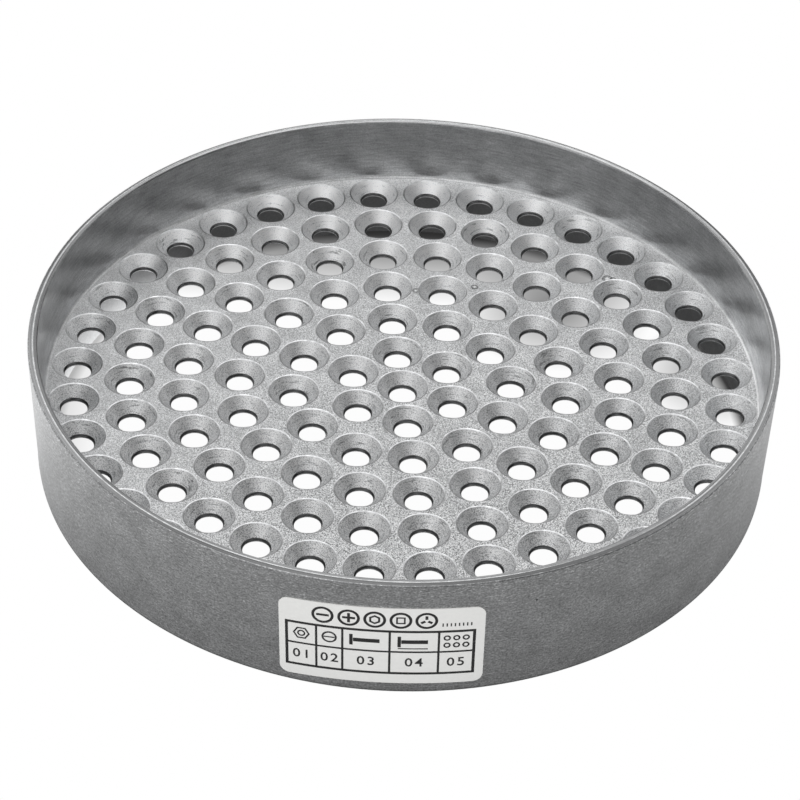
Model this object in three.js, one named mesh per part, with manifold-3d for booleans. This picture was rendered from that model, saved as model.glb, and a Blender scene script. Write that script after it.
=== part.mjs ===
import * as THREE from 'three';
import { mergeGeometries, mergeVertices, toCreasedNormals } from 'three/addons/utils/BufferGeometryUtils.js';
import Module from 'manifold-3d';

// Screw tray: a cast aluminium dish whose raised deck holds rings of countersunk screw seats,
// with one paper label stuck on the outside of the wall. Millimetres and degrees, +Z up,
// resting on z = 0, label side towards -Y.

// Screw seats
const boreDiameter = 4.0;
const boreTaper = 0.6;
const boreLand = 0.65;
const countersinkDiameter = 8.0;
const countersinkAngle = 94;
const seatWeb = 0.7;
const seatRings = 6;
const seatsInFirstRing = 6;
const patternTurn = 36.6;

// Wall, rim and skirt
const trayHeight = 22.2;
const wellDepth = 11.0;
const wellDraft = 3.3;
const rimWidth = 1.55;
const wallDraft = 2.4;
const edgeLand = 0.7;
const skirtThickness = 1.75;
const skirtDraft = 2.0;
const rimRound = 0.65;
const edgeBreak = 0.2;
const baseChamfer = 0.3;

// Label
const labelWidth = 30.5;
const labelHeight = 15.7;
const labelCorner = 1.5;
const labelThickness = 0.2;
const labelGap = 0.1;
const labelFoot = 1.8;
const labelTurn = -1.9;
const labelTilt = 0.5;

// Facets
const wallSegments = 72;
const seatSegments = 12;
const labelSegments = 180;
const arcSteps = 3;
const creaseAngle = 35;

// Sizes that follow from the driving dimensions
const rad = THREE.MathUtils.degToRad;
const seatPitch = countersinkDiameter + seatWeb;
const throatDiameter = boreDiameter + boreTaper;
const countersinkDepth = (countersinkDiameter - throatDiameter) / 2 / Math.tan(rad(countersinkAngle / 2));
const deckTop = trayHeight - wellDepth;
const deckUnderside = deckTop - countersinkDepth - boreLand;
const wellRadius = seatRings * seatPitch + countersinkDiameter / 2 + edgeLand;
const wellFillet = 0.7 * edgeLand;
const cutterReach = Math.min(edgeLand, seatWeb) / 8;

const wasm = await Module();
wasm.setup();

// Closed solid for boolean work from a three.js geometry
function toSolid(geometry) {
  const bare = geometry.clone();
  bare.deleteAttribute('normal');
  bare.deleteAttribute('uv');
  const welded = mergeVertices(bare, 1e-4);
  const vertProperties = new Float32Array(welded.attributes.position.array);
  const triVerts = new Uint32Array(welded.index.array);
  return new wasm.Manifold(new wasm.Mesh({ numProp: 3, vertProperties, triVerts }));
}

// three.js geometry from a boolean result
function toGeometry(solid) {
  const mesh = solid.getMesh();
  const geometry = new THREE.BufferGeometry();
  geometry.setAttribute('position', new THREE.BufferAttribute(new Float32Array(mesh.vertProperties), 3));
  geometry.setIndex(new THREE.BufferAttribute(new Uint32Array(mesh.triVerts), 1));
  return toCreasedNormals(geometry, rad(creaseAngle));
}

// Solid of revolution about Z from points of (radius, height), anticlockwise round the section
function revolve(section, segments) {
  return new THREE.LatheGeometry(section, segments).rotateX(Math.PI / 2);
}

// Points on an arc of the section, both ends included
function arc(centreRadius, centreHeight, radius, fromDegrees, toDegrees) {
  const points = [];
  for (let step = 0; step <= arcSteps; step += 1) {
    const angle = rad(fromDegrees + (toDegrees - fromDegrees) * step / arcSteps);
    const along = centreRadius + radius * Math.cos(angle);
    points.push(new THREE.Vector2(along, centreHeight + radius * Math.sin(angle)));
  }
  return points;
}

// Drafted faces of the wall: the well and the outside lean out all the way up, the core below leans in
function wellRadiusAt(height) {
  return wellRadius + (height - deckTop) * Math.tan(rad(wellDraft));
}

function outerRadiusAt(height) {
  return wellRadiusAt(trayHeight) + rimWidth - (trayHeight - height) * Math.tan(rad(wallDraft));
}

function skirtRadiusAt(height) {
  return outerRadiusAt(0) - skirtThickness - height * Math.tan(rad(skirtDraft));
}

// Half section of the casting before the seats are cut
function castingSection() {
  const point = (radius, height) => new THREE.Vector2(radius, height);
  const rimShoulder = trayHeight - rimRound;
  const rimCentre = outerRadiusAt(rimShoulder) - rimRound;
  const filletTop = deckTop + wellFillet;
  const filletCentre = wellRadiusAt(filletTop) - wellFillet;
  const skirtTop = deckUnderside - wellFillet;
  return [
    point(0, deckUnderside),
    ...arc(skirtRadiusAt(skirtTop) - wellFillet, skirtTop, wellFillet, 90, 0),
    point(skirtRadiusAt(edgeBreak), edgeBreak),
    point(skirtRadiusAt(0) + edgeBreak, 0),
    point(outerRadiusAt(0) - baseChamfer, 0),
    point(outerRadiusAt(baseChamfer), baseChamfer),
    ...arc(rimCentre, rimShoulder, rimRound, 0, 90),
    point(wellRadiusAt(trayHeight) + edgeBreak, trayHeight),
    point(wellRadiusAt(trayHeight - edgeBreak), trayHeight - edgeBreak),
    ...arc(filletCentre, filletTop, wellFillet, 0, -90),
    point(0, deckTop),
  ];
}

// One seat: a bore with a little draft that opens into a cone at the deck
function seatCutter() {
  const boreRadius = boreDiameter / 2;
  const mouthRadius = countersinkDiameter / 2;
  const section = [
    new THREE.Vector2(0, deckUnderside - cutterReach),
    new THREE.Vector2(boreRadius, deckUnderside - cutterReach),
    new THREE.Vector2(boreRadius, deckUnderside),
    new THREE.Vector2(throatDiameter / 2, deckUnderside + boreLand),
    new THREE.Vector2(mouthRadius, deckTop),
    new THREE.Vector2(mouthRadius, deckTop + cutterReach),
    new THREE.Vector2(0, deckTop + cutterReach),
  ];
  return revolve(section, seatSegments);
}

// The centre seat and equally pitched rings, each ring with one more seat per sixth than the last
function seatPattern() {
  const seats = [seatCutter()];
  for (let ring = 1; ring <= seatRings; ring += 1) {
    const count = ring * seatsInFirstRing;
    for (let index = 0; index < count; index += 1) {
      const angle = rad(patternTurn + 360 * index / count);
      seats.push(seatCutter().translate(ring * seatPitch, 0, 0).rotateZ(angle));
    }
  }
  return mergeGeometries(seats);
}

// The whole dish in one casting
function makeCasting() {
  const blank = toSolid(revolve(castingSection(), wallSegments));
  return toGeometry(blank.subtract(toSolid(seatPattern())));
}

// Rounded rectangle, centred, in its own plane
function roundedRectangle(width, height, corner) {
  const x = width / 2;
  const y = height / 2;
  const shape = new THREE.Shape();
  shape.moveTo(corner - x, -y);
  shape.lineTo(x - corner, -y);
  shape.absarc(x - corner, corner - y, corner, -Math.PI / 2, 0);
  shape.lineTo(x, y - corner);
  shape.absarc(x - corner, y - corner, corner, 0, Math.PI / 2);
  shape.lineTo(corner - x, y);
  shape.absarc(corner - x, y - corner, corner, Math.PI / 2, Math.PI);
  shape.lineTo(-x, corner - y);
  shape.absarc(corner - x, corner - y, corner, Math.PI, 1.5 * Math.PI);
  return shape;
}

// A thin band that follows the drafted wall, trimmed to the outline of the label
function makeLabel() {
  const low = labelFoot / 2;
  const high = labelFoot * 1.5 + labelHeight;
  const inside = (height) => outerRadiusAt(height) + labelGap;
  const outside = (height) => inside(height) + labelThickness;
  const band = revolve([
    new THREE.Vector2(inside(low), low),
    new THREE.Vector2(outside(low), low),
    new THREE.Vector2(outside(high), high),
    new THREE.Vector2(inside(high), high),
    new THREE.Vector2(inside(low), low),
  ], labelSegments);
  const centreHeight = labelFoot + labelHeight / 2;
  const bendRadius = inside(centreHeight);
  const chord = 2 * bendRadius * Math.sin(labelWidth / 2 / bendRadius);
  const outline = roundedRectangle(chord, labelHeight, labelCorner);
  const prism = new THREE.ExtrudeGeometry(outline, {
    depth: outerRadiusAt(trayHeight) * 1.1,
    bevelEnabled: false,
    curveSegments: arcSteps,
  });
  prism.rotateZ(rad(labelTilt));
  prism.rotateX(Math.PI / 2);
  prism.rotateZ(rad(labelTurn));
  prism.translate(0, 0, centreHeight);
  return toGeometry(toSolid(band).intersect(toSolid(prism)));
}

// One named piece with its own surface
function piece(name, geometry, colour, roughness, metalness) {
  const material = new THREE.MeshStandardMaterial({ color: colour, roughness, metalness });
  material.name = name;
  const mesh = new THREE.Mesh(geometry, material);
  mesh.name = name;
  return mesh;
}

const group = new THREE.Group();
group.name = 'screw_tray';
group.add(piece('tray_casting', makeCasting(), 0xb2b3b4, 0.5, 0.9));
group.add(piece('label', makeLabel(), 0xe6e6e4, 0.55, 0.0));

export default group;
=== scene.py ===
import math
from functools import partial

import bpy
import numpy as np
from bpy.props import FloatProperty, FloatVectorProperty, IntProperty, PointerProperty
from mathutils import Matrix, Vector
from mathutils.geometry import delaunay_2d_cdt


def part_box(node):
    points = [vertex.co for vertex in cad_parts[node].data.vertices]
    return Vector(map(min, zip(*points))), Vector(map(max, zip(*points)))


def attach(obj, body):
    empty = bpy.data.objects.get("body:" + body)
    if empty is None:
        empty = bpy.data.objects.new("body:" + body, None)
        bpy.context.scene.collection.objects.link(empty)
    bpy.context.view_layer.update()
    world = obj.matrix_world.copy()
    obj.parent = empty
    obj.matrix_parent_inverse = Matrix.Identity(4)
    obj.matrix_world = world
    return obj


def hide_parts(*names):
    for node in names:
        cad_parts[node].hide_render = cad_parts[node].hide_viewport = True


bl_info = {
    "name": "Screw tray",
    "version": (1, 0, 0),
    "blender": (4, 5, 0),
    "location": "3D View > Sidebar > Screw tray",
    "description": "Builds a cast screw tray with its paper label on a plain studio stage",
    "category": "Add Mesh",
}

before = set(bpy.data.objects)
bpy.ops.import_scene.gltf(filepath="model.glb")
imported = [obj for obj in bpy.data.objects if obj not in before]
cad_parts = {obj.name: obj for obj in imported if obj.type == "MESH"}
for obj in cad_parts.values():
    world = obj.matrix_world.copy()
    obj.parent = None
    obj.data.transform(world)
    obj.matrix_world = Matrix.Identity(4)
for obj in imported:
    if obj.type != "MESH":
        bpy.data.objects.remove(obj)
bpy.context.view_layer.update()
TRAY_LOW, TRAY_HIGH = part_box("tray_casting")

MM = 0.001

# Facets of the casting, columns and rows of the label
WALL_SEGMENTS = 240
WALL_ROUND_STEPS = 4
SEAT_SEGMENTS = 32
SEAT_ROUND_STEPS = 3
LABEL_COLUMNS = 48
LABEL_CORNER_ROWS = 8
LABEL_MIDDLE_ROWS = 12

# Seats in the first ring; ring k has k times as many
FIRST_RING = 6

# Finishes of the casting, in the order of its material slots
DECK, SEAT, LIP, BORE, WELL, RIM, BURNISH, WALL, UNDERSIDE = range(9)

# Little pips left on the deck by the casting: place across and up in millimetres, radius; the deck's height
PIPS = ((17.3, 29.9, 0.28), (1.6, 25.1, 0.6), (11.3, 26.6, 0.65), (33.3, 30.1, 0.9), (34.3, 30.0, 0.5))
PIP_HEIGHT = 11.2

# Pits and nicks of the wall: way round from the front and height in millimetres, radius, gain of brightness
PITS = ((21.0, 16.7, 0.24, -0.6), (-22.8, 13.8, 0.2, 0.6), (29.0, 20.6, 0.3, 0.4))

# Radius at which the wall is unrolled
WALL_RADIUS = 58.6 * MM

# Values between which most of a noise pattern lies
NOISE = (0.3, 0.7)

# Grain of the deck and the seats, struck harder in front: from and to across the deck, strength at both
GRAIN_FADE = (-40 * MM, 40 * MM, 1.0, 0.4)

# Roughness of metal struck by grit, brightness of worn edges: both from the low to the high end of a pattern
GRIT_ROUGHNESS = (0.46, 0.58)
WORN_TONE = (0.9, 1.42)

# Longest step along a printed line in millimetres, font size that gives figures one unit high
PRINT_STEP = 0.5
FONT_SIZE = 1.4

# Soft lamps of the studio: way round and height in degrees, strength; each fades as a power of the cosine
LAMPS = ((0, 90, 0.5), (90, 62, 1.25), (135, 35, 0.92), (45, 35, 0.7), (-90, 65, 0.6), (-140, 45, 0.98))
LAMP_POWER = 10.0

# Strength of the pale screens that stand low in front of the tray
SCREEN = 0.46

# Soft light in front: place and side in metres, power in watts
SOFTBOX_PLACE = (0.0, -0.9, 0.5)
SOFTBOX_SIDE = 0.6
SOFTBOX_WATTS = 6.6

# Floor: half its side, how far it lies below the tray, radius within which it is under the tray
FLOOR_HALF = 2
FLOOR_DROP = 0.02 * MM
FLOOR_COVERED = 57 * MM

# Camera: sensor width, focal length and picture width in pixels, place in metres, slope and roll in degrees
SENSOR_MM = 36
FOCAL_PIXELS = 3521.89
PICTURE_PIXELS = 800
CAMERA_PLACE = (-0.361 * MM, -434.887 * MM, 365.330 * MM)
CAMERA_SLOPE = 39.380
CAMERA_ROLL = 1.945

# White with its alpha, and the choice of all of a node's outputs
WHITE = (1, 1, 1, 1)
ALL = slice(None)


def linear(hex_colour):
    """Linear red, green and blue of an sRGB hex colour.

    A value v becomes v / 12.92 low down and ((v + 0.055) / 1.055) ^ 2.4 above.
    """
    codes = np.array([int(hex_colour[i:i + 2], 16) for i in (1, 3, 5)]) / 255
    return tuple(np.where(codes <= 0.04045, codes / 12.92, ((codes + 0.055) / 1.055) ** 2.4).tolist())


def length(name, description, millimetres):
    """A length property with its default given in millimetres."""
    return FloatProperty(name=name, description=description, default=millimetres * MM,
                         min=0.0, precision=5, unit="LENGTH", subtype="DISTANCE")


def angle(name, description, degrees):
    """An angle property with its default given in degrees."""
    return FloatProperty(name=name, description=description, default=math.radians(degrees),
                         unit="ROTATION", subtype="ANGLE")


def colour(name, description, hex_colour):
    """A colour property with its default given as an sRGB hex value."""
    return FloatVectorProperty(name=name, description=description, default=linear(hex_colour),
                               min=0.0, max=1.0, size=3, subtype="COLOR")


class TraySizes(bpy.types.PropertyGroup):
    """Sizes of the casting"""

    height: FloatProperty(name="Height", description="Base to rim", unit="LENGTH", subtype="DISTANCE",
                          default=TRAY_HIGH.z - TRAY_LOW.z)
    well_depth: length("Well depth", "Rim down to the deck", 11.0)
    well_draft: angle("Well draft", "Lean of the inside of the wall", 3.3)
    bore_diameter: length("Bore", "Diameter of a bore at its foot", 4.0)
    bore_taper: length("Bore taper", "How much wider a bore is under its cone", 0.6)
    bore_land: length("Bore land", "Height of a bore under its cone", 0.65)
    countersink_diameter: length("Countersink", "Diameter of a seat's cone at the deck", 8.0)
    countersink_angle: angle("Countersink angle", "Included angle of a seat's cone", 94)
    seat_web: length("Web", "Deck left between neighbouring countersinks", 0.7)
    seat_rings: IntProperty(name="Rings", description="Rings of seats round the middle one", default=6, min=1)
    pattern_turn: angle("Pattern turn", "Direction of the first seat of every ring", 36.6)
    edge_land: length("Edge land", "Deck left outside the last countersinks", 0.7)
    rim_width: length("Rim", "Width of the rim", 1.55)
    wall_draft: angle("Wall draft", "Lean of the outside of the wall", 2.4)
    skirt_thickness: length("Skirt", "Thickness of the skirt at its foot", 1.75)
    skirt_draft: angle("Skirt draft", "Lean of the inside of the skirt", 2.0)
    lip_round: length("Lip", "Round at the mouth of a seat", 0.36)
    shoulder_round: length("Shoulder", "Round where cone and bore meet", 0.06)
    burr_round: length("Bore foot", "Round at the foot of a bore", 0.16)
    well_fillet: length("Fillet", "Fillet between deck and wall", 0.49)
    rim_break: length("Rim break", "Broken edge on the inside of the rim", 0.16)
    rim_round: length("Rim round", "Round on the outside of the rim", 0.34)
    rim_fall: length("Rim fall", "How much the outer band of the rim drops towards the outside", 0.28)
    land_width: length("Turned land", "Inner part of the rim, turned a little lower", 0.62)
    burnish_width: length("Burnished line", "Width of the bright line beside the turned land", 0.2)
    burnish_height: length("Burnished height", "Rise from the turned land to the bright line", 0.04)
    parting_height: length("Parting line", "Height of the die's parting line above the base", 1.1)
    parting_ridge: length("Parting ridge", "How far the parting line stands out", 0.05)
    base_round: length("Base round", "Round on the outside of the foot", 0.3)


class LabelSizes(bpy.types.PropertyGroup):
    """Sizes of the label"""

    width: length("Width", "Along the wall", 30.5)
    height: length("Height", "Up the wall, at the ends", 15.5)
    bow: length("Bow", "How much higher the middle of the sheet sits than its ends", 0.4)
    corner: length("Corner", "Radius of the corners", 1.5)
    thickness: length("Thickness", "Thickness of the paper", 0.15)
    gap: length("Glue", "Thickness of the glue under the paper", 0.02)
    foot: length("Foot", "Lower edge above the base, at the ends", 1.7)
    turn: angle("Turn", "Centre, round from the front", -1.9)
    tilt: angle("Tilt", "Lean of the lower edge", 0.5)
    ink: length("Ink", "Thickness of the printed ink", 0.012)


class TrayColours(bpy.types.PropertyGroup):
    """Colours of the surfaces"""

    casting: colour("Casting", "Tumbled aluminium", "#dadbdc")
    paper: colour("Paper", "Label stock", "#e8e8e6")
    ink: colour("Ink", "Rules and figures", "#1e1e1e")
    floor: colour("Floor", "Plain pale floor", "#ffffff")


def rounded_section(corners, rounds, steps):
    """Points (radius, height) and normals of a section through corners, with its inner corners rounded.

    An arc touches both sides of its corner: with h half the angle between the sides, its centre lies
    round / sin(h) from the corner on their bisector. The normal is the left-hand side of the way along,
    turned evenly through each arc.
    """
    corners = np.array(corners, float)
    rounds = np.array(rounds, float)[:, None]
    back = corners[:-2] - corners[1:-1]
    ahead = corners[2:] - corners[1:-1]
    back /= np.linalg.norm(back, axis=1, keepdims=True)
    ahead /= np.linalg.norm(ahead, axis=1, keepdims=True)
    half = np.arccos(np.sum(back * ahead, axis=1, keepdims=True)) / 2
    turn = np.sign(back[:, 1] * ahead[:, 0] - back[:, 0] * ahead[:, 1])[:, None]
    bisector = back + ahead
    bisector /= np.linalg.norm(bisector, axis=1, keepdims=True)
    centre = corners[1:-1] + bisector * rounds / np.sin(half)
    first = np.arctan2(-back[:, 0], back[:, 1])[:, None]
    angles = first + turn * (np.pi - 2 * half) * np.linspace(0, 1, steps + 1)
    normals = np.stack([np.cos(angles), np.sin(angles)], axis=-1)
    points = centre[:, None] - (turn * rounds)[:, None] * normals
    return points.reshape(-1, 2), normals.reshape(-1, 2)


def worked_section(first, corners, last, steps):
    """Points and normals of a section with rounded corners, and the finish of every row of its faces.

    A corner is its place, its round, the finish of that round and the finish of the flat that follows.
    """
    places, rounds, arcs, flats = zip(*corners)
    points, normals = rounded_section([first, *places, last], rounds, steps)
    finishes = np.concatenate([[arc] * steps + [flat] for arc, flat in zip(arcs, flats)])
    return points, normals, finishes[:-1]


def revolve(section, normals, segments, centres, starts):
    """Surfaces of revolution about upright axes.

    A section point (r, h) at angle a is the centre plus (r cos a, r sin a, h). Returns points and normals
    with one row per axis, section point and angle.
    """
    angles = np.asarray(starts)[:, None] + 2 * np.pi * np.arange(segments) / segments
    ray = np.stack([np.cos(angles), np.sin(angles)], axis=-1)[:, None]
    shape = (len(centres), len(section), segments, 1)
    flat = np.asarray(centres)[:, None, None] + section[None, :, None, :1] * ray
    rise = np.broadcast_to(section[None, :, None, 1:], shape)
    flat_normal = normals[None, :, None, :1] * ray
    rise_normal = np.broadcast_to(normals[None, :, None, 1:], shape)
    return np.concatenate([flat, rise], axis=-1), np.concatenate([flat_normal, rise_normal], axis=-1)


def ring_quads(grids, rows, columns, start):
    """Faces of closed grids, wound so that they look to the left of the section's way along."""
    index = start + np.arange(grids * rows * columns).reshape(grids, rows, columns)
    beside = np.roll(index, -1, axis=2)
    quads = [index[:, :-1], index[:, 1:], beside[:, 1:], beside[:, :-1]]
    return np.stack(quads, axis=-1).reshape(-1, 4)


def perforated_flat(points, outer, holes, up):
    """Triangles of a flat face between an outer ring and rings of holes.

    They come from a constrained Delaunay triangulation. A triangle with all three corners on one hole's ring
    lies inside that hole and is dropped.
    """
    rings = [outer, *holes]
    counts = [len(ring) for ring in rings]
    index = np.concatenate(rings)
    owner = np.repeat(np.arange(len(rings)), counts)
    first = np.repeat(np.cumsum([0] + counts[:-1]), counts)
    place = np.arange(len(index))
    edges = np.stack([place, first + (place - first + 1) % np.repeat(counts, counts)], axis=-1)
    whole_hull, tolerance = 0, 1e-9
    _, _, faces, origins, _, _ = delaunay_2d_cdt(
        points[index, :2].tolist(), edges.tolist(), [], whole_hull, tolerance, True)
    triangles = np.array([origin[0] for origin in origins])[np.array(faces)]
    inside = (owner[triangles] == owner[triangles][:, :1]).all(axis=1) & (owner[triangles[:, 0]] > 0)
    triangles = index[triangles[~inside]]
    return triangles if up else triangles[:, ::-1]


def seat_pattern(sizes):
    """Centres and directions of the seats: one in the middle, then ring k at k pitches, evenly round."""
    pitch = sizes.countersink_diameter + sizes.seat_web
    rings = np.arange(1, sizes.seat_rings + 1)
    ring = np.repeat(rings, FIRST_RING * rings)
    place = np.concatenate([np.arange(FIRST_RING * k) for k in rings])
    turn = np.concatenate([[0.0], sizes.pattern_turn + 2 * np.pi * place / (FIRST_RING * ring)])
    radius = np.concatenate([[0.0], ring * pitch])
    return np.stack([radius * np.cos(turn), radius * np.sin(turn)], axis=-1), turn


class CastingShape:
    """Heights and radii that follow from the sizes"""

    def __init__(self, sizes):
        self.throat = (sizes.bore_diameter + sizes.bore_taper) / 2
        sink = (sizes.countersink_diameter / 2 - self.throat) / math.tan(sizes.countersink_angle / 2)
        pitch = sizes.countersink_diameter + sizes.seat_web
        self.rim = sizes.height
        self.deck = sizes.height - sizes.well_depth
        self.shoulder = self.deck - sink
        self.underside = self.shoulder - sizes.bore_land
        self.well_at_deck = sizes.seat_rings * pitch + sizes.countersink_diameter / 2 + sizes.edge_land
        self.well_at_rim = self.well_at_deck + sizes.well_depth * math.tan(sizes.well_draft)
        self.outer_at_rim = self.well_at_rim + sizes.rim_width
        self.outer_at_base = self.outer_at_rim - sizes.height * math.tan(sizes.wall_draft)
        self.skirt_at_base = self.outer_at_base - sizes.skirt_thickness
        self.skirt_at_underside = self.skirt_at_base - self.underside * math.tan(sizes.skirt_draft)

    def outer_at(self, height):
        """Radius of the outside of the wall at a height"""
        return self.outer_at_base + (self.outer_at_rim - self.outer_at_base) * height / self.rim


def node(tree, kind, *inputs, out=0, **named):
    """Adds a node and returns one of its outputs, or all of them.

    A kind may end in a colon and the node's operation. Inputs come in the node's own order, with None for
    one that is passed over, or by their capitalised names, and each is set to a value or linked to a socket.
    Names in lower case are the node's other settings.
    """
    kind, _, operation = kind.partition(":")
    made = tree.nodes.new("ShaderNode" + kind)
    if operation:
        made.operation = operation
    values = dict(enumerate(inputs))
    for name, value in named.items():
        if name[0].isupper():
            values[name.replace("_", " ")] = value
        else:
            setattr(made, name, value)
    for key, value in values.items():
        if isinstance(value, bpy.types.NodeSocket):
            tree.links.new(value, made.inputs[key])
        elif value is not None:
            made.inputs[key].default_value = value
    return made.outputs[out]


def new_material(name):
    """An empty node material, the function that adds nodes to it, and a place on its object in metres"""
    material = bpy.data.materials.new(name)
    material.use_nodes = True
    material.node_tree.nodes.clear()
    add = partial(node, material.node_tree)
    return material, add, add("TexCoord", out="Object")


def surface(add, base, tone, roughness, metallic, relief=None, depth_mm=0.0):
    """Ends a material: a base colour made brighter or darker by a tone, and a relief where there is one"""
    tinted = add("VectorMath:SCALE", base, Scale=tone)
    bump = None if relief is None else add("Bump", Height=relief, Distance=depth_mm * MM)
    shader = add("BsdfPrincipled", Base_Color=tinted, Metallic=metallic, Roughness=roughness, Normal=bump)
    add("OutputMaterial", shader, out=ALL)


def tumbled_deck(base):
    """Die-cast aluminium tumbled in grit: bright grains and dark pores of 0.2 mm on a satin grey"""
    material, add, place = new_material("die_cast_aluminium_grit_tumbled")
    grit = add("TexNoise", place, Scale=1 / (0.15 * MM), Detail=1.0)
    clouds = add("TexNoise", place, Scale=1 / (3.5 * MM), Detail=4.0)
    # The grain was struck harder in front and to the right; towards the back the deck is painted brighter, as
    # painted light
    side, behind, _ = add("SeparateXYZ", place, out=ALL)
    nearness = add("Math:MULTIPLY", add("MapRange", behind, *GRAIN_FADE),
                   add("MapRange", side, -45 * MM, 0.0, 0.65, 1.0))
    grain = add("Math:MULTIPLY", add("MapRange", grit, *NOISE, -0.95, 0.95), nearness)
    tone = add("Math:MULTIPLY", add("Math:ADD", grain, 1.0), add("MapRange", clouds, *NOISE, 0.82, 1.04))
    # Painted light: up to 1.4 times brighter towards the back of the deck
    tone = add("Math:MULTIPLY", tone, add("MapRange", behind, 36 * MM, 54 * MM, 1.0, 1.4))
    # Each pip is drawn in colour alone: a painted highlight in its middle and painted shade round its edge
    for across, up, size in PIPS:
        away = add("VectorMath:DISTANCE", place, (across * MM, up * MM, PIP_HEIGHT * MM), out="Value")
        pip = add("MapRange", away, 0.0, 0.6 * size * MM, 0.8, -0.5)
        tone = add("Math:MULTIPLY_ADD", pip, add("Math:LESS_THAN", away, size * MM), tone)
    # Grit doesn't get into the corner by the wall, so the skin stays pale and matt there
    reach = add("VectorMath:LENGTH", place, out="Value")
    metallic = add("MapRange", reach, 53 * MM, 57 * MM, 1.0, 0.2)
    surface(add, base, tone, add("MapRange", grit, *NOISE, *GRIT_ROUGHNESS), metallic, grain, 0.008)
    return material


def reamed_seat(base):
    """Die-cast aluminium reamed by a countersink: short dark chatter arcs round each seat, no two alike"""
    material, add, place = new_material("die_cast_aluminium_reamed")
    # Place within the seat in millimetres, and the seat's number
    x, y, number = add("SeparateXYZ", add("Attribute", attribute_name="seat_place", out="Vector"), out=ALL)
    reach = add("VectorMath:LENGTH", add("CombineXYZ", x, y), out="Value")
    # Marks 0.25 mm wide that run about 2 mm round the seat
    across = add("Math:MULTIPLY_ADD", reach, 4.0, add("Math:MULTIPLY", number, 13.7))
    ring = add("CombineXYZ", add("Math:MULTIPLY", x, 0.5), add("Math:MULTIPLY", y, 0.5), across)
    chatter = add("TexNoise", ring, Scale=1.0, Detail=3.0)
    share = add("TexWhiteNoise", W=number, noise_dimensions="1D", out="Value")
    marks = add("Math:MULTIPLY", add("MapRange", chatter, 0.58, 0.68, 0.0, 1.0),
                add("MapRange", share, 0.0, 1.0, 0.12, 0.6))
    grit = add("TexNoise", place, Scale=1 / (0.15 * MM), Detail=1.0)
    side, behind, _ = add("SeparateXYZ", place, out=ALL)
    grain = add("Math:MULTIPLY", add("MapRange", grit, 0.32, 0.62, -0.7, 0.55),
                add("MapRange", behind, *GRAIN_FADE))
    tone = add("Math:MULTIPLY", add("Math:ADD", grain, 1.15), add("Math:SUBTRACT", 1.0, marks))
    # Painted light: brighter to the back of the tray and of each seat, painted shade to the right
    tone = add("Math:MULTIPLY", tone, add("MapRange", behind, 20 * MM, 50 * MM, 1.0, 1.22))
    tone = add("Math:MULTIPLY", tone, add("MapRange", side, 0.0, 40 * MM, 1.0, 0.88))
    tone = add("Math:MULTIPLY", tone, add("MapRange", y, 0.5, 3.0, 1.0, 1.1))
    relief = add("Math:SUBTRACT", add("Math:MULTIPLY", grit, 0.7), marks)
    # The seats by the wall were reached by less grit and are more matt
    away = add("VectorMath:LENGTH", place, out="Value")
    metallic = add("MapRange", away, 51 * MM, 57 * MM, 1.0, 0.72)
    surface(add, base, tone, add("MapRange", grit, *NOISE, *GRIT_ROUGHNESS), metallic, relief, 0.012)
    return material


def worn_lip_and_highlight(base):
    """Aluminium edges rounded by tumbling: a soft bright line round each seat, with a painted highlight that
    makes it brightest on its far side
    """
    material, add, place = new_material("die_cast_aluminium_worn_edge_and_highlight")
    worn = add("TexNoise", place, Scale=1 / (0.9 * MM), Detail=3.0)
    _, behind, _ = add("SeparateXYZ", add("Attribute", attribute_name="seat_place", out="Vector"), out=ALL)
    # Painted highlight: the far side of each seat is painted brightest, the near side down to 0.62 of it
    tone = add("Math:MULTIPLY", add("MapRange", worn, *NOISE, *WORN_TONE),
               add("MapRange", behind, -0.5, 2.6, 0.62, 1.0))
    away = add("VectorMath:LENGTH", place, out="Value")
    metallic = add("MapRange", away, 53 * MM, 57 * MM, 1.0, 0.3)
    surface(add, base, tone, add("MapRange", worn, *NOISE, 0.4, 0.28), metallic, worn, 0.01)
    return material


def drilled_bore(base):
    """Drilled aluminium: dull, with turned scratches 0.15 mm apart down the bore, and painted shade that
    darkens its colour to between 0.09 and 0.4 of the casting's
    """
    material, add, place = new_material("die_cast_aluminium_drilled")
    drawn = add("Mapping", place, Scale=(0.1, 0.1, 1.0))
    scratch = add("TexNoise", drawn, Scale=1 / (0.15 * MM))
    # Painted shade: the bore's colour is scaled down to 0.09 to 0.4
    surface(add, base, add("MapRange", scratch, 0.35, 0.65, 0.09, 0.4), 0.4, 1.0, scratch, 0.01)
    return material


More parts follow.
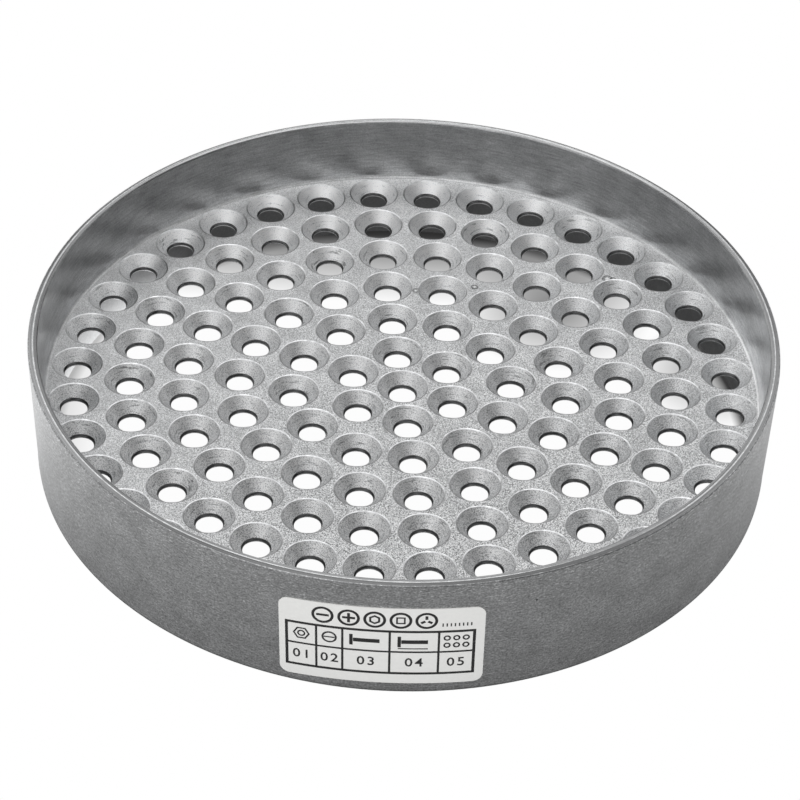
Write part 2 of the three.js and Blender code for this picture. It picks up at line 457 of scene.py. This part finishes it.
def die_smooth_well(base):
    """Aluminium as the die left it: mirrors the deck softly, with faint flow clouds and drawn streaks"""
    material, add, place = new_material("die_cast_aluminium_smooth")
    clouds = add("TexNoise", place, Scale=1 / (4.0 * MM), Detail=4.0)
    drawn = add("Mapping", place, Scale=(0.12, 0.12, 1.0))
    streaks = add("TexNoise", drawn, Scale=1 / (0.3 * MM), Detail=3.0)
    pores = add("TexNoise", place, Scale=1 / (0.22 * MM))
    side, behind, height = add("SeparateXYZ", place, out=ALL)
    tone = add("Math:MULTIPLY", add("MapRange", clouds, *NOISE, 0.7, 0.87),
               add("MapRange", streaks, *NOISE, 0.8, 1.16))
    tone = add("Math:MULTIPLY", tone, add("MapRange", pores, *NOISE, 0.8, 1.18))
    # Painted light: the foot of the wall is painted brighter than its top, and the right brighter than the
    # left
    tone = add("Math:MULTIPLY", tone, add("MapRange", height, 12 * MM, 16 * MM, 1.14, 0.75))
    right = add("MapRange", side, 35 * MM, 56 * MM, 1.0, add("MapRange", behind, 8 * MM, 24 * MM, 1.62, 1.0))
    tone = add("Math:MULTIPLY", tone, right)
    left = add("MapRange", side, -50 * MM, -25 * MM, add("MapRange", behind, 0.0, 14 * MM, 1.08, 0.9), 1.0)
    tone = add("Math:MULTIPLY", tone, left)
    # The fillet is matt like the corner of the deck, most of all to the right of the back
    fillet = add("MapRange", side, 49 * MM, 55 * MM, add("MapRange", side, 0.0, 30 * MM, 0.6, 0.22), 0.65)
    metallic = add("MapRange", height, 11.35 * MM, 11.8 * MM, fillet, 1.0)
    surface(add, base, tone, add("MapRange", clouds, *NOISE, 0.28, 0.35), metallic, clouds, 0.01)
    return material


def turned_rim(base):
    """Aluminium faced on a lathe: fine bright and dark rings a tenth of a millimetre apart"""
    material, add, place = new_material("die_cast_aluminium_turned")
    side, behind, _ = add("SeparateXYZ", place, out=ALL)
    reach = add("VectorMath:LENGTH", add("CombineXYZ", side, behind), out="Value")
    # Drawn 0.2 mm apart, because finer rings don't show, and 25 mm long
    ring = add("CombineXYZ", add("Math:MULTIPLY", side, 1 / (25 * MM)),
               add("Math:MULTIPLY", behind, 1 / (25 * MM)), add("Math:MULTIPLY", reach, 1 / (0.2 * MM)))
    lathe = add("TexNoise", ring, Scale=1.0, Detail=3.0)
    grit = add("TexNoise", place, Scale=1 / (0.25 * MM))
    tone = add("Math:MULTIPLY", add("MapRange", lathe, *NOISE, 0.42, 0.72),
               add("MapRange", grit, *NOISE, 0.93, 1.06))
    # Painted light: the land is painted brightest at the back, and the outer band is painted darker towards
    # the label, as dull as the wall there
    land = add("Math:MULTIPLY", add("MapRange", behind, 15 * MM, 55 * MM, 0.92, 2.4),
               add("MapRange", side, -45 * MM, -15 * MM, 0.76, 1.0))
    band = add("Math:MULTIPLY", add("MapRange", behind, -52 * MM, -36 * MM, 0.46, 0.85),
               add("MapRange", behind, -36 * MM, -5 * MM, 1.0, 1.3))
    outer = add("MapRange", reach, 58.2 * MM, 58.3 * MM, 0.0, 1.0)
    tone = add("Math:MULTIPLY", tone, add("Mix", outer, None, land, band))
    surface(add, base, tone, add("MapRange", lathe, *NOISE, 0.24, 0.34), 1.0, lathe, 0.035)
    return material


def burnished_line(base):
    """Aluminium rubbed bright where edges touch other things: a shining hairline, broken up along its way"""
    material, add, place = new_material("die_cast_aluminium_burnished")
    worn = add("TexNoise", place, Scale=1 / (0.9 * MM), Detail=3.0)
    # It is darker to the right of the label
    away = add("VectorMath:DISTANCE", place, (30 * MM, -50 * MM, 22 * MM), out="Value")
    tone = add("Math:MULTIPLY", add("MapRange", worn, *NOISE, *WORN_TONE),
               add("MapRange", away, 7 * MM, 17 * MM, 0.55, 1.0))
    surface(add, base, tone, add("MapRange", worn, *NOISE, 0.32, 0.2), 1.0, worn, 0.01)
    return material


def tumbled_wall(base):
    """Die-cast aluminium tumbled with others: grey clouds, short crossed rubs, a few bright scratches"""
    material, add, place = new_material("die_cast_aluminium_part_tumbled")
    side, behind, height = add("SeparateXYZ", place, out=ALL)
    # Unrolled wall: way round in metres, from the front, and height
    swing = add("Math:ARCTAN2", side, add("Math:MULTIPLY", behind, -1.0))
    unrolled = add("CombineXYZ", add("Math:MULTIPLY", swing, WALL_RADIUS), height)
    grit = add("TexNoise", unrolled, Scale=1 / (0.3 * MM), Detail=3.0)
    rubs = []
    for lean in (-50, 40):
        turned = add("Mapping", unrolled, Rotation=(0, 0, math.radians(lean)), Scale=(0.25, 1.0, 1.0))
        rubs.append(add("TexNoise", turned, Scale=1 / (0.2 * MM)))
    rubbed = add("Math:MAXIMUM", *rubs)
    weave = add("Math:MULTIPLY_ADD", rubbed, 0.5, add("Math:MULTIPLY", grit, 0.5))
    clouds = add("TexNoise", unrolled, Scale=1 / (4.5 * MM), Detail=4.0)
    drawn = add("Mapping", unrolled, Scale=(0.1, 1.0, 1.0))
    streaks = add("TexNoise", drawn, Scale=1 / (0.6 * MM), Detail=3.0)
    # Knocks have left more scratches near the rim
    knocked = add("Math:ADD", rubbed, add("MapRange", height, 15 * MM, 21 * MM, 0.0, 0.08))
    scratches = add("MapRange", knocked, 0.7, 0.78, 0.0, 0.45)
    tone = add("Math:MULTIPLY", add("MapRange", weave, 0.4, 0.66, 0.45, 1.13),
               add("MapRange", clouds, *NOISE, 0.76, 0.98))
    tone = add("Math:MULTIPLY_ADD", tone, add("MapRange", streaks, *NOISE, 0.92, 1.08), scratches)
    # Painted shade darkens the foot
    tone = add("Math:MULTIPLY", tone, add("MapRange", height, 0.2 * MM, 0.6 * MM, 0.5, 1.0))
    for across, up, size, gain in PITS:
        away = add("VectorMath:DISTANCE", unrolled, (across * MM, up * MM, 0), out="Value")
        tone = add("Math:ADD", tone, add("MapRange", away, 0.5 * size * MM, size * MM, gain, 0.0))
    surface(add, base, tone, add("MapRange", clouds, *NOISE, 0.36, 0.46), 1.0, weave, 0.012)
    return material


def rough_underside(base):
    """Aluminium as cast and not tumbled: duller and greyer, with shallow flow marks"""
    material, add, place = new_material("die_cast_aluminium_as_cast")
    flow = add("TexNoise", place, Scale=1 / (3.0 * MM), Detail=4.0)
    grit = add("TexNoise", place, Scale=1 / (0.35 * MM))
    tone = add("Math:MULTIPLY", add("MapRange", flow, *NOISE, 0.7, 0.86),
               add("MapRange", grit, *NOISE, 0.9, 1.05))
    surface(add, base, tone, add("MapRange", flow, *NOISE, 0.5, 0.62), 1.0, grit, 0.02)
    return material


# Makers of the casting's materials, in the order of its finishes
FINISHES = (tumbled_deck, reamed_seat, worn_lip_and_highlight, drilled_bore, die_smooth_well, turned_rim, burnished_line,
            tumbled_wall, rough_underside)


def label_paper(base):
    """Satin coated paper: white with a faint fibre cloud and a soft sheen"""
    material, add, place = new_material("coated_label_paper")
    fibre = add("TexNoise", place, Scale=1 / (0.6 * MM), Detail=4.0)
    tone = add("MapRange", fibre, *NOISE, 0.96, 1.0)
    surface(add, base, tone, add("MapRange", fibre, *NOISE, 0.42, 0.52), 0.0, fibre, 0.004)
    return material


def printing_ink(base):
    """Printing ink on coated paper: near black, a little thinner in specks"""
    material, add, place = new_material("black_printing_ink")
    film = add("TexNoise", place, Scale=1 / (0.2 * MM))
    tone = add("MapRange", film, *NOISE, 0.8, 1.6)
    surface(add, base, tone, add("MapRange", film, *NOISE, 0.4, 0.55), 0.0)
    return material


def new_object(name, points, faces, normals=None):
    """A mesh object at the origin from points in metres and lists of faces"""
    mesh = bpy.data.meshes.new(name)
    mesh.from_pydata(points.tolist(), [], [face for group in faces for face in group.tolist()])
    mesh.validate()
    mesh.shade_smooth()
    if normals is not None:
        mesh.normals_split_custom_set_from_vertices(normals.tolist())
    made = bpy.data.objects.new(name, mesh)
    bpy.context.scene.collection.objects.link(made)
    return made


class SCREWTRAY_OT_casting(bpy.types.Operator):
    """Builds the one-piece casting: wall, rim, skirt and the deck with its screw seats"""

    bl_idname = "screwtray.casting"
    bl_label = "Casting"

    def execute(self, context):
        sizes = context.scene.tray_sizes
        base = tuple(context.scene.tray_colours.casting)
        shape = CastingShape(sizes)
        bore = sizes.bore_diameter / 2
        mouth = sizes.countersink_diameter / 2
        run = sizes.seat_web
        edge = sizes.rim_break
        step = sizes.burnish_height
        land = shape.rim - step
        line = shape.well_at_rim + sizes.land_width
        parting, ridge = sizes.parting_height, sizes.parting_ridge
        flank = 3 * ridge

        # Corners up a seat: place, round, finish of the round and of the flat that follows
        seat, seat_slopes, seat_finishes = worked_section((bore + run, shape.underside), [
            ((bore, shape.underside), sizes.burr_round, SEAT, BORE),
            ((shape.throat, shape.shoulder), sizes.shoulder_round, BORE, SEAT),
            ((mouth, shape.deck), sizes.lip_round, LIP, DECK),
        ], (mouth + run, shape.deck), SEAT_ROUND_STEPS)

        # Corners from the deck over the rim to the foot and up inside the skirt
        wall, wall_slopes, wall_finishes = worked_section((shape.well_at_deck - run, shape.deck), [
            ((shape.well_at_deck, shape.deck), sizes.well_fillet, WELL, WELL),
            ((shape.well_at_rim - edge * math.tan(sizes.well_draft), land - edge), edge / 4, WELL, WELL),
            ((shape.well_at_rim + edge, land), edge / 4, WELL, RIM),
            ((line - step, land), step / 3, RIM, BURNISH),
            ((line, shape.rim), step / 3, BURNISH, BURNISH),
            ((line + sizes.burnish_width, shape.rim), step, BURNISH, RIM),
            ((shape.outer_at_rim, shape.rim - sizes.rim_fall), sizes.rim_round, WALL, WALL),
            ((shape.outer_at(parting + flank), parting + flank), ridge, WALL, WALL),
            ((shape.outer_at(parting) + ridge, parting), ridge, WALL, WALL),
            ((shape.outer_at(parting - flank), parting - flank), ridge, WALL, WALL),
            ((shape.outer_at_base, 0), sizes.base_round, WALL, UNDERSIDE),
            ((shape.skirt_at_base, 0), sizes.base_round / 2, UNDERSIDE, UNDERSIDE),
            ((shape.skirt_at_underside, shape.underside), sizes.well_fillet, UNDERSIDE, UNDERSIDE),
        ], (shape.skirt_at_underside - run, shape.underside), WALL_ROUND_STEPS)

        centres, turns = seat_pattern(sizes)
        wall_points, wall_normals = revolve(wall, wall_slopes, WALL_SEGMENTS, [(0.0, 0.0)], [0.0])
        seat_points, seat_normals = revolve(seat, seat_slopes, SEAT_SEGMENTS, centres, turns)
        seat_start = len(wall) * WALL_SEGMENTS
        points = np.concatenate([wall_points.reshape(-1, 3), seat_points.reshape(-1, 3)])
        normals = np.concatenate([wall_normals.reshape(-1, 3), seat_normals.reshape(-1, 3)])

        index = np.arange(len(points))
        wall_index = index[:seat_start].reshape(len(wall), WALL_SEGMENTS)
        seat_index = index[seat_start:].reshape(len(centres), len(seat), SEAT_SEGMENTS)
        wall_quads = ring_quads(1, len(wall), WALL_SEGMENTS, 0)
        seat_quads = ring_quads(len(centres), len(seat), SEAT_SEGMENTS, seat_start)
        deck = perforated_flat(points, wall_index[0], list(seat_index[:, -1]), True)
        underside = perforated_flat(points, wall_index[-1], list(seat_index[:, 0]), False)

        casting = new_object("casting", points, [wall_quads, seat_quads, deck, underside], normals)
        finishes = np.concatenate([
            np.repeat(wall_finishes, WALL_SEGMENTS),
            np.tile(np.repeat(seat_finishes, SEAT_SEGMENTS), len(centres)),
            np.full(len(deck), DECK), np.full(len(underside), UNDERSIDE)])
        casting.data.polygons.foreach_set("material_index", finishes.astype(np.int32))

        # Place within its own seat, in millimetres, and the seat's number
        inside = np.zeros((len(points), 3))
        own = seat_points.copy()
        own[..., :2] = (own[..., :2] - centres[:, None, None]) / MM
        own[..., 2] = np.arange(1, len(centres) + 1)[:, None, None]
        inside[seat_start:] = own.reshape(-1, 3)
        place = casting.data.attributes.new("seat_place", "FLOAT_VECTOR", "POINT")
        place.data.foreach_set("vector", inside.astype(np.float32).ravel())

        for finish in FINISHES:
            casting.data.materials.append(finish(base))
        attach(casting, "root")
        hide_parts("tray_casting")
        return {"FINISHED"}


def label_surface(sizes, shape, along, up, lift):
    """Points on the wall's cone from distances along and up the label, lifted off the wall.

    The sheet is bowed up in the middle and turned by its tilt; along becomes an angle round the wall at the
    label's middle radius, up becomes height, and the radius is the wall's at that height plus the lift.
    """
    up = up + sizes.bow * (1 - (2 * along / sizes.width) ** 2)
    middle = sizes.foot + sizes.height / 2
    across = along * math.cos(sizes.tilt) - up * math.sin(sizes.tilt)
    height = middle + along * math.sin(sizes.tilt) + up * math.cos(sizes.tilt)
    turn = sizes.turn - math.pi / 2 + across / shape.outer_at(middle)
    radius = shape.outer_at(height) + lift
    return np.stack([radius * np.cos(turn), radius * np.sin(turn), height], axis=-1)


class SCREWTRAY_OT_label(bpy.types.Operator):
    """Sticks the paper label on the wall"""

    bl_idname = "screwtray.label"
    bl_label = "Label"

    def execute(self, context):
        sizes = context.scene.label_sizes
        shape = CastingShape(context.scene.tray_sizes)
        end = sizes.height / 2 - sizes.corner
        swing = np.linspace(0, np.pi / 2, LABEL_CORNER_ROWS)
        upper = end + sizes.corner * np.sin(swing)
        across = sizes.width / 2 - sizes.corner * (1 - np.cos(swing))
        up = np.concatenate([-upper[::-1], np.linspace(-end, end, LABEL_MIDDLE_ROWS)[1:-1], upper])
        half = np.concatenate([across[::-1], np.full(LABEL_MIDDLE_ROWS - 2, sizes.width / 2), across])
        along = np.linspace(-1, 1, LABEL_COLUMNS)[None] * half[:, None]
        front = label_surface(sizes, shape, along, up[:, None], sizes.gap + sizes.thickness)
        back = label_surface(sizes, shape, along, up[:, None], sizes.gap)
        index = np.arange(along.size).reshape(along.shape)
        quads = np.stack([index[:-1, :-1], index[:-1, 1:], index[1:, 1:], index[1:, :-1]], axis=-1)
        quads = quads.reshape(-1, 4)
        border = np.concatenate([index[0, :-1], index[:-1, -1], index[-1, :0:-1], index[:0:-1, 0]])
        beyond = np.roll(border, -1)
        rim = np.stack([border, border + along.size, beyond + along.size, beyond], axis=-1)
        points = np.concatenate([front.reshape(-1, 3), back.reshape(-1, 3)])
        label = new_object("label_sheet", points, [quads, quads[:, ::-1] + along.size, rim])
        label.data.set_sharp_from_angle(angle=math.radians(40))
        label.data.materials.append(label_paper(tuple(context.scene.tray_colours.paper)))
        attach(label, "root")
        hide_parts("label")
        return {"FINISHED"}


def stroke(start, end, width):
    """A straight bar of print in short steps: points on its two sides, and its faces"""
    start, end = np.array(start), np.array(end)
    way = end - start
    reach = np.linalg.norm(way)
    side = np.array([-way[1], way[0]]) / reach * width / 2
    steps = math.ceil(reach / PRINT_STEP) + 1
    middle = start + np.linspace(0, 1, steps)[:, None] * way
    low = np.arange(steps - 1)
    quads = np.stack([low, low + 1, low + 1 + steps, low + steps], axis=-1)
    return np.concatenate([middle - side, middle + side]), quads.tolist()


def outline(centre, radius, width, sides, turn=0.0):
    """A closed band of print: a regular polygon's outline, round if it has many sides"""
    angles = math.radians(turn) + 2 * np.pi * np.arange(sides) / sides
    ray = np.stack([np.cos(angles), np.sin(angles)], axis=-1)
    low = np.arange(sides)
    beside = (low + 1) % sides
    quads = np.stack([low, low + sides, beside + sides, beside], axis=-1)
    points = [centre + (radius + edge * width / 2) * ray for edge in (-1, 1)]
    return np.concatenate(points), quads.tolist()


def figures(text, centre, height):
    """Plain figures in the built-in font, as a flat mesh about a centre"""
    curve = bpy.data.curves.new("figures", "FONT")
    curve.body = text
    curve.size = height * FONT_SIZE
    curve.align_x = "CENTER"
    curve.align_y = "CENTER"
    curve.space_character = 1.25
    curve.offset = 0.03
    curve.resolution_u = 3
    holder = bpy.data.objects.new("figures", curve)
    mesh = bpy.data.meshes.new_from_object(holder)
    points = np.array([tuple(vertex.co) for vertex in mesh.vertices])[:, :2] + centre
    faces = [list(face.vertices) for face in mesh.polygons]
    bpy.data.objects.remove(holder)
    bpy.data.meshes.remove(mesh)
    bpy.data.curves.remove(curve)
    return points, faces


def ruled_table():
    """Print of the ruled table, in millimetres about the label's middle"""
    left, right, low, high, middle = -14.07, 13.7, -5.65, 3.05, -1.17
    border, rule, pen, fine_pen = 0.45, 0.34, 0.3, 0.26
    half = border / 2
    marks = [stroke((left - half, level), (right + half, level), border) for level in (low, high)]
    marks += [stroke((side, low + half), (side, high - half), border) for side in (left, right)]
    columns = (left, -9.57, -5.67, 1.28, 8.48, right)
    for column in columns[1:-1]:
        marks.append(stroke((column, low + half), (column, middle - rule / 2), rule))
        marks.append(stroke((column, middle + rule / 2), (column, high - half), rule))
    marks.append(stroke((left + half, middle), (right - half, middle), rule))
    cells = [(a + b) / 2 for a, b in zip(columns, columns[1:])]
    for number, cell in enumerate(cells, 1):
        marks.append(figures(f"0{number}", (cell, (low + middle) / 2), 1.75))

    # A nut, a slotted head, two screws from the side, the second with a line under it, and a field of holes
    level = (middle + high) / 2
    nut, head, screw, ruled_screw, holes = cells
    marks += [outline((nut, level), 1.15, pen, 6), outline((nut, level), 0.5, fine_pen, 16)]
    marks += [outline((head, level), 1.0, pen, 24), stroke((head - 0.8, level), (head + 0.8, level), 0.24)]
    for cell in (screw, ruled_screw):
        marks.append(stroke((cell - 2.2, level - 1.1), (cell - 2.2, level + 1.1), 0.5))
        marks.append(stroke((cell - 1.9, level), (cell + 2.0, level), 0.75))
    marks.append(stroke((ruled_screw - 2.4, level - 1.4), (ruled_screw + 2.0, level - 1.4), 0.2))
    for across in (-1.4, 0.0, 1.4):
        marks += [outline((holes + across, level + up), 0.42, fine_pen, 16) for up in (-0.75, 0.75)]
    return marks


def screw_heads():
    """Print of the title row, in millimetres about the label's middle: five screw heads and a row of ticks"""
    level, reach, pen, fine_pen = 5.35, 0.95, 0.42, 0.36
    heads = (-8.6, -4.75, -0.95, 2.85, 6.6)
    slotted, crossed, hexagonal, square, winged = heads
    marks = [outline((head, level), 1.45, pen, 32) for head in heads]
    marks += [stroke((head - reach, level), (head + reach, level), pen) for head in (slotted, crossed)]
    for side in (-1, 1):
        marks.append(stroke((crossed, level + side * pen / 2), (crossed, level + side * reach), pen))
    marks.append(outline((hexagonal, level), 0.75, fine_pen, 6, 30))
    marks.append(outline((square, level), 0.8, fine_pen, 4, 45))
    for turn in (90, 210, 330):
        way = np.array([math.cos(math.radians(turn)), math.sin(math.radians(turn))])
        marks.append(stroke((winged, level) + 0.24 * way, (winged, level) + reach * way, pen))
    ticks = [9.0 + 0.6 * tick for tick in range(8)]
    marks += [stroke((tick, 4.1), (tick, 4.75), 0.2) for tick in ticks]
    return marks


class SCREWTRAY_OT_label_print(bpy.types.Operator):
    """Prints the ruled table, its numbers and plain screw heads on the label"""

    bl_idname = "screwtray.label_print"
    bl_label = "Label print"

    def execute(self, context):
        sizes = context.scene.label_sizes
        shape = CastingShape(context.scene.tray_sizes)
        marks = ruled_table() + screw_heads()
        starts = np.cumsum([0] + [len(points) for points, _ in marks])
        along, up = np.concatenate([points for points, _ in marks]).T * MM
        lift = sizes.gap + sizes.thickness + sizes.ink
        faces = [[corner + start for corner in face]
                 for start, (_, group) in zip(starts, marks) for face in group]
        mesh = bpy.data.meshes.new("label_print")
        mesh.from_pydata(label_surface(sizes, shape, along, up, lift).tolist(), [], faces)
        mesh.validate()
        printed = bpy.data.objects.new("label_print", mesh)
        context.scene.collection.objects.link(printed)
        film = printed.modifiers.new("film", "SOLIDIFY")
        film.thickness = sizes.ink
        film.offset = 1
        mesh.materials.append(printing_ink(tuple(context.scene.tray_colours.ink)))
        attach(printed, "root")
        return {"FINISHED"}


def seen_glow(add, place):
    """White, with the tray's shade under its back edge and a soft shadow to the right behind the middle"""
    reach = add("VectorMath:LENGTH", place, out="Value")
    side, behind, _ = add("SeparateXYZ", place, out=ALL)
    edge = add("MapRange", reach, 54.3 * MM, 56 * MM, 1.0, add("MapRange", side, 10 * MM, 50 * MM, 0.6, 0.1))
    shade = add("Math:MULTIPLY", add("MapRange", behind, 36 * MM, 55 * MM, 1.0, 0.05), edge)
    shadow = add("VectorMath:DISTANCE", place, (25 * MM, 36 * MM, 0), out="Value")
    shade = add("Math:MULTIPLY", shade, add("MapRange", shadow, 3 * MM, 17 * MM, 0.33, 0.98))
    corner = add("VectorMath:DISTANCE", place, (52 * MM, 20 * MM, 0), out="Value")
    shade = add("Math:MULTIPLY", shade, add("MapRange", corner, 4 * MM, 14 * MM, 0.45, 1.0))
    shade = add("Math:MULTIPLY", shade, add("MapRange", side, -56 * MM, -48 * MM, 0.72, 1.0))
    return add("Math:MAXIMUM", shade, add("Math:GREATER_THAN", reach, FLOOR_COVERED))


def bounced_glow(add, place):
    """Light that the floor gives back: dark under the tray, dim in front, brighter behind and to the left"""
    reach = add("VectorMath:LENGTH", place, out="Value")
    side, ahead, _ = add("SeparateXYZ", add("VectorMath:NORMALIZE", place), out=ALL)
    front = add("Math:MULTIPLY", add("MapRange", reach, 58 * MM, 74 * MM, 0.27, 0.41),
                add("MapRange", side, -0.7, -0.1, 1.22, 1.0))
    back = add("Math:POWER", add("MapRange", ahead, -0.9, 0.0, 0.0, 1.0), 2.5)
    open_floor = add("Math:MULTIPLY_ADD", back, add("MapRange", side, -1.0, 1.0, 0.75, 0.36), front)
    left = add("VectorMath:DOT_PRODUCT", place, (-0.91, 0.41, 0), out="Value")
    hidden = add("MapRange", left, 49 * MM, 53 * MM, 0.1, 1.8)
    return add("Mix", add("Math:GREATER_THAN", reach, FLOOR_COVERED), None, hidden, open_floor)


def glowing_floor(name, glow):
    """A flat square of floor that glows upwards and is clear from below, so that the underside can be seen"""
    corners = np.array([(-1, -1, 0), (1, -1, 0), (1, 1, 0), (-1, 1, 0)]) * FLOOR_HALF
    floor = new_object(name, corners - (0, 0, FLOOR_DROP), [np.array([(0, 1, 2, 3)])])
    material, add, place = new_material(name)
    tint = (*bpy.context.scene.tray_colours.floor, 1)
    shine = add("Emission", Color=tint, Strength=glow(add, place))
    mixed = add("MixShader", add("NewGeometry", out="Backfacing"), shine, add("BsdfTransparent"))
    add("OutputMaterial", mixed, out=ALL)
    floor.data.materials.append(material)
    return floor


def studio_world():
    """Six soft lamps round the tray and pale screens low in front; the camera sees plain white instead"""
    world = bpy.data.worlds.new("studio")
    world.use_nodes = True
    world.node_tree.nodes.clear()
    add = partial(node, world.node_tree)
    way = add("TexCoord", out="Generated")
    glow = 0.0
    for turn, rise, strength in LAMPS:
        turn, rise = math.radians(turn), math.radians(rise)
        aim = (math.cos(rise) * math.cos(turn), math.cos(rise) * math.sin(turn), math.sin(rise))
        facing = add("VectorMath:DOT_PRODUCT", way, aim, out="Value")
        fade = add("Math:POWER", add("Math:MAXIMUM", facing, 0.0), LAMP_POWER)
        glow = add("Math:MULTIPLY_ADD", fade, strength, glow)
    _, ahead, above = add("SeparateXYZ", way, out=ALL)
    screen = add("Math:MULTIPLY", add("MapRange", ahead, 0.1, 0.6, SCREEN, 0.0),
                 add("MapRange", add("Math:ABSOLUTE", above), 0.1, 0.4, 1.0, 0.0))
    room = add("Background", Color=WHITE, Strength=add("Math:ADD", glow, screen))
    plain = add("Background", Color=WHITE, Strength=1.0)
    mixed = add("MixShader", add("LightPath", out="Is Camera Ray"), room, plain)
    add("OutputWorld", mixed, out=ALL)
    return world


def front_softbox():
    """A soft light panel that looks at the tray and isn't mirrored in it"""
    light = bpy.data.lights.new("softbox_front", "AREA")
    light.shape = "SQUARE"
    light.size = SOFTBOX_SIDE
    light.energy = SOFTBOX_WATTS
    made = bpy.data.objects.new("softbox_front", light)
    made.location = SOFTBOX_PLACE
    made.rotation_euler = made.location.to_track_quat("Z", "Y").to_euler()
    made.visible_glossy = False
    return made


def tray_camera():
    """The camera, placed and turned as in the photograph"""
    lens = bpy.data.cameras.new("camera")
    lens.sensor_width = SENSOR_MM
    lens.lens = SENSOR_MM * FOCAL_PIXELS / PICTURE_PIXELS
    camera = bpy.data.objects.new("camera", lens)
    tip = Matrix.Rotation(math.radians(90 - CAMERA_SLOPE), 4, "X")
    roll = Matrix.Rotation(math.radians(CAMERA_ROLL), 4, "Z")
    camera.matrix_world = Matrix.Translation(CAMERA_PLACE) @ tip @ roll
    return camera


class SCREWTRAY_OT_stage(bpy.types.Operator):
    """Sets the floor, the soft lights and the camera"""

    bl_idname = "screwtray.stage"
    bl_label = "Stage"

    def execute(self, context):
        scene = context.scene
        scene.view_settings.view_transform = "Standard"

        # The seen floor is only for the camera; a second one, hidden from it, sends light back to the tray
        seen = glowing_floor("floor_seen", seen_glow)
        seen.visible_diffuse = False
        seen.visible_glossy = False
        seen.visible_shadow = False
        seen.visible_transmission = False
        bounce = glowing_floor("floor_bounce", bounced_glow)
        bounce.visible_camera = False

        scene.world = studio_world()
        camera = tray_camera()
        for made in (front_softbox(), camera):
            scene.collection.objects.link(made)
        scene.camera = camera
        return {"FINISHED"}


class SCREWTRAY_PT_panel(bpy.types.Panel):
    """Lists the steps of the build"""

    bl_idname = "SCREWTRAY_PT_panel"
    bl_label = "Screw tray"
    bl_space_type = "VIEW_3D"
    bl_region_type = "UI"
    bl_category = "Screw tray"

    def draw(self, context):
        for step in STEPS:
            self.layout.operator(step.bl_idname)


STEPS = (SCREWTRAY_OT_casting, SCREWTRAY_OT_label, SCREWTRAY_OT_label_print, SCREWTRAY_OT_stage)
CLASSES = (TraySizes, LabelSizes, TrayColours, *STEPS, SCREWTRAY_PT_panel)


def register():
    for cls in CLASSES:
        bpy.utils.register_class(cls)
    bpy.types.Scene.tray_sizes = PointerProperty(type=TraySizes)
    bpy.types.Scene.label_sizes = PointerProperty(type=LabelSizes)
    bpy.types.Scene.tray_colours = PointerProperty(type=TrayColours)


def unregister():
    del bpy.types.Scene.tray_colours
    del bpy.types.Scene.label_sizes
    del bpy.types.Scene.tray_sizes
    for cls in reversed(CLASSES):
        bpy.utils.unregister_class(cls)


def main():
    """Registers the add-on and runs its steps in order"""
    register()
    bpy.ops.screwtray.casting()
    bpy.ops.screwtray.label()
    bpy.ops.screwtray.label_print()
    bpy.ops.screwtray.stage()


if __name__ == "__main__":
    main()
